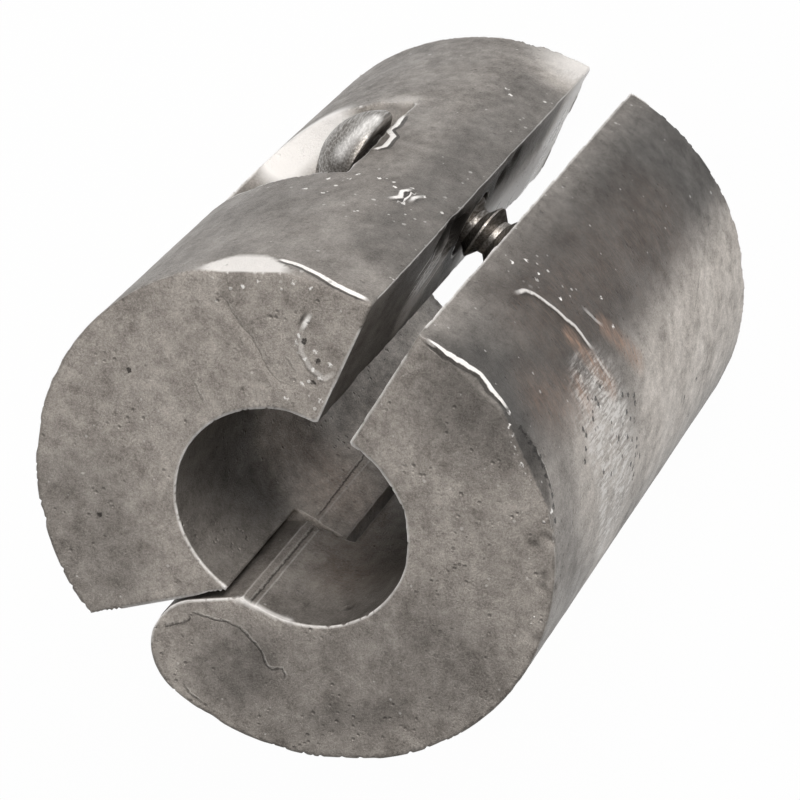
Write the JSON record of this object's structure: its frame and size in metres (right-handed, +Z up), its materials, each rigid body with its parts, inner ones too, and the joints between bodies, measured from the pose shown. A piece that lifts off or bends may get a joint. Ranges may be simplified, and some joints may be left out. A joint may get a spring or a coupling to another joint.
{
  "type": "keepnet weight",
  "caption": "Cast lead weight in two half shells on an interlocking knuckle, clamped round a net's ring by a screw across the slot.",
  "frame": {"origin": "middle of the bore at the lower end face, which the weight stands on", "axes": "+Z up along the bore, +X out through the slot, +Y towards the half that carries the screw's head"},
  "size_m": [0.028, 0.0304, 0.0395],
  "materials": {
    "cast_lead": "as-cast lead, sandy and dull",
    "plated_steel": "zinc plated, brushed"
  },
  "bodies": {
    "left_body": {"left_half": "cast_lead"},
    "right_body": {"right_half": "cast_lead"},
    "screw_body": {"clamp_screw": "plated_steel"}
  },
  "joints": [
    {"name": "jaw", "type": "hinge", "parent": "left_body", "child": "right_body", "pos_m": [-0.0106, 0, 0.01975], "axis": [0, 0, -1], "range_deg": [-5, 8]},
    {"name": "screw_turn", "type": "hinge", "parent": "left_body", "child": "screw_body", "pos_m": [0.00968, 0.00857, 0.0186], "axis": [-0.0523, 0.9986, 0], "range_deg": [-462, 738.5]}
  ],
  "couplings": [
    {"joint": "screw_turn", "follows": "jaw", "ratio": 92.24}
  ]
}
